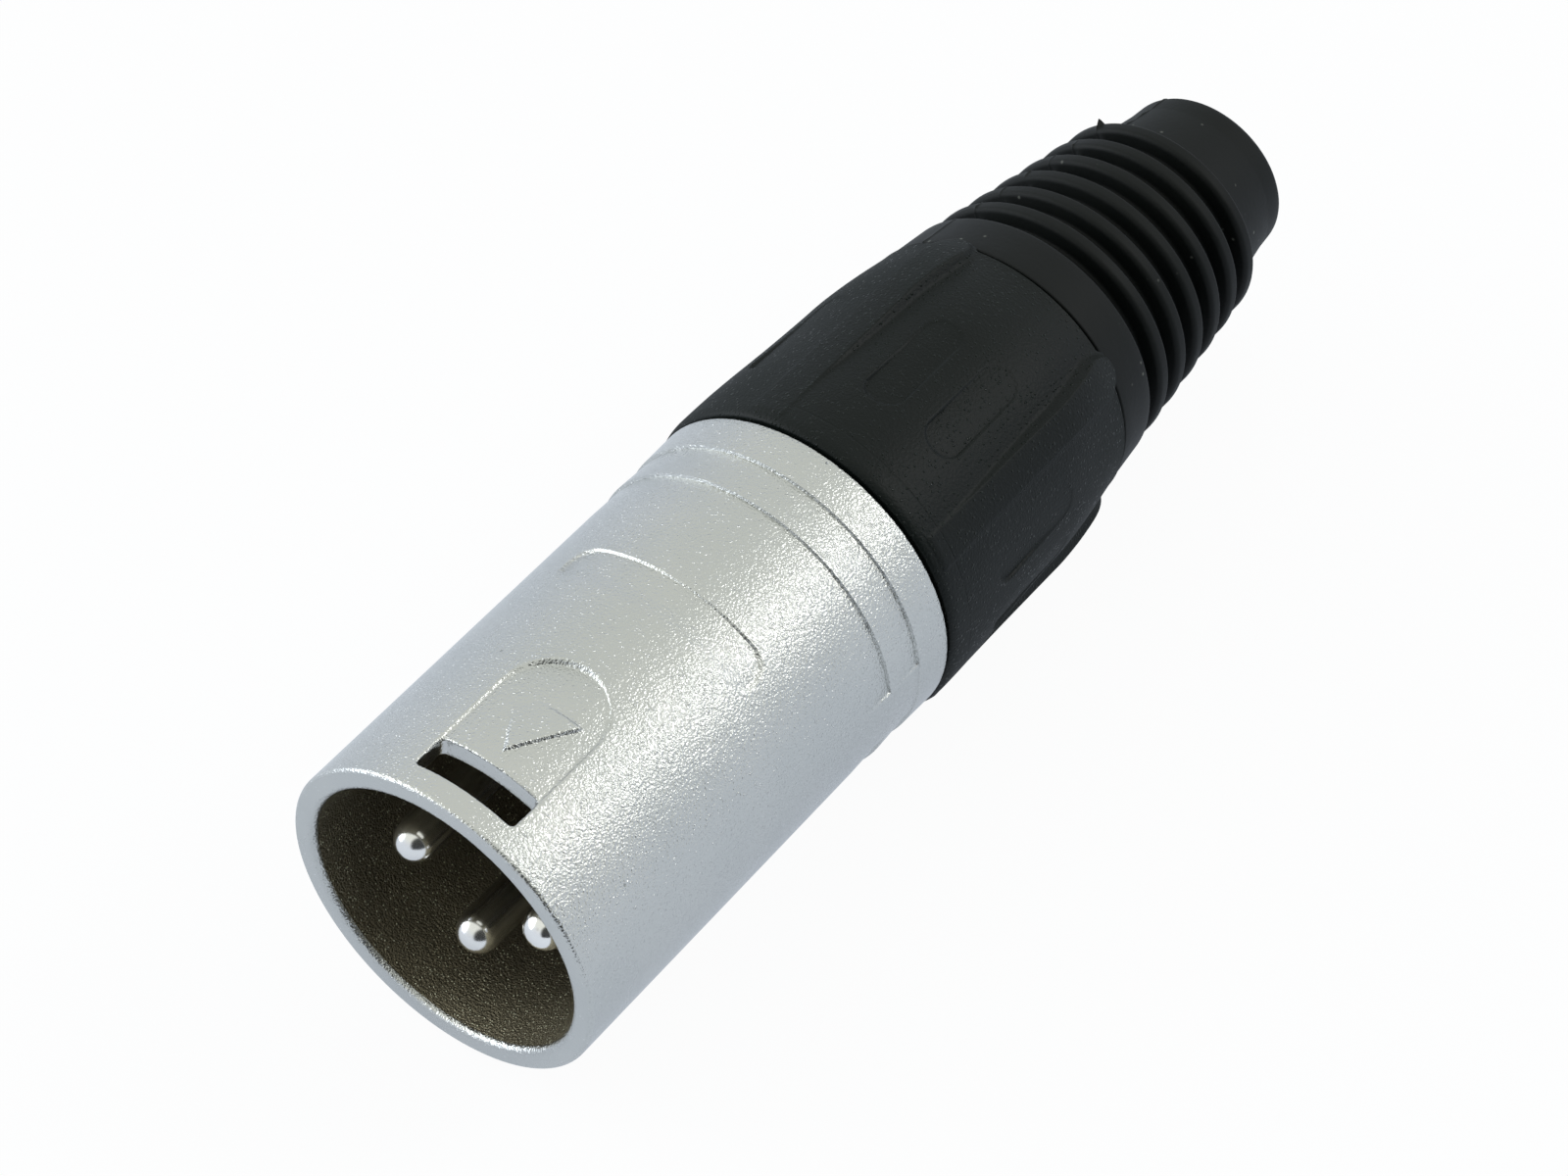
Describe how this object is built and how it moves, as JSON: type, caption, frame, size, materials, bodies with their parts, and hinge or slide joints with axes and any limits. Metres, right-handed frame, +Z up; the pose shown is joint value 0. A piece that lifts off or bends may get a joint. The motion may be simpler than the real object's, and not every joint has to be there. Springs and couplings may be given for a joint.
{
  "type": "xlr plug",
  "caption": "Round cable-end audio plug lying on its side: metal sleeve with latch window around turned contact pins, ribbed screw-on grip and tapered ringed bend relief.",
  "frame": {"origin": "centre of the mouth, on the plug's axis, in the plane of the shell's front rim", "axes": "+Y along the plug's axis from the mouth towards the cable, +Z up through the middle of the latch window; the plug lies on its side"},
  "size_m": [0.0199, 0.0689, 0.0198],
  "materials": {
    "satin_nickel": "satin nickel plate over a zinc casting",
    "black_carrier": "fine matt moulding",
    "silver_plate": "bright silver plate over turned brass",
    "bronze_strip": "bare spring bronze strip",
    "grey_chuck": "tough natural moulding, slightly shiny",
    "black_grip": "fine spark-eroded moulding grain",
    "black_rubber": "matt moulded rubber"
  },
  "bodies": {
    "plug_front": {"shell": "satin_nickel", "insert": "black_carrier", "pin_1": "silver_plate", "pin_2": "silver_plate", "pin_3": "silver_plate", "ground_contact": "bronze_strip"},
    "cable_clamp": {"chuck": "grey_chuck"},
    "grip": {"bushing": "black_grip", "boot": "black_rubber"}
  },
  "joints": [
    {"name": "clamp_slide", "type": "slide", "parent": "plug_front", "child": "cable_clamp", "axis": [0, 1, 0], "range_m": [0, 0.00676]},
    {"name": "grip_screw", "type": "hinge", "parent": "cable_clamp", "child": "grip", "pos_m": [0, 0.0345, 0], "axis": [0, 1, 0], "range_deg": [0, 1620]}
  ],
  "couplings": [
    {"joint": "clamp_slide", "follows": "grip_screw", "m_per_rad": 0.00023873}
  ]
}
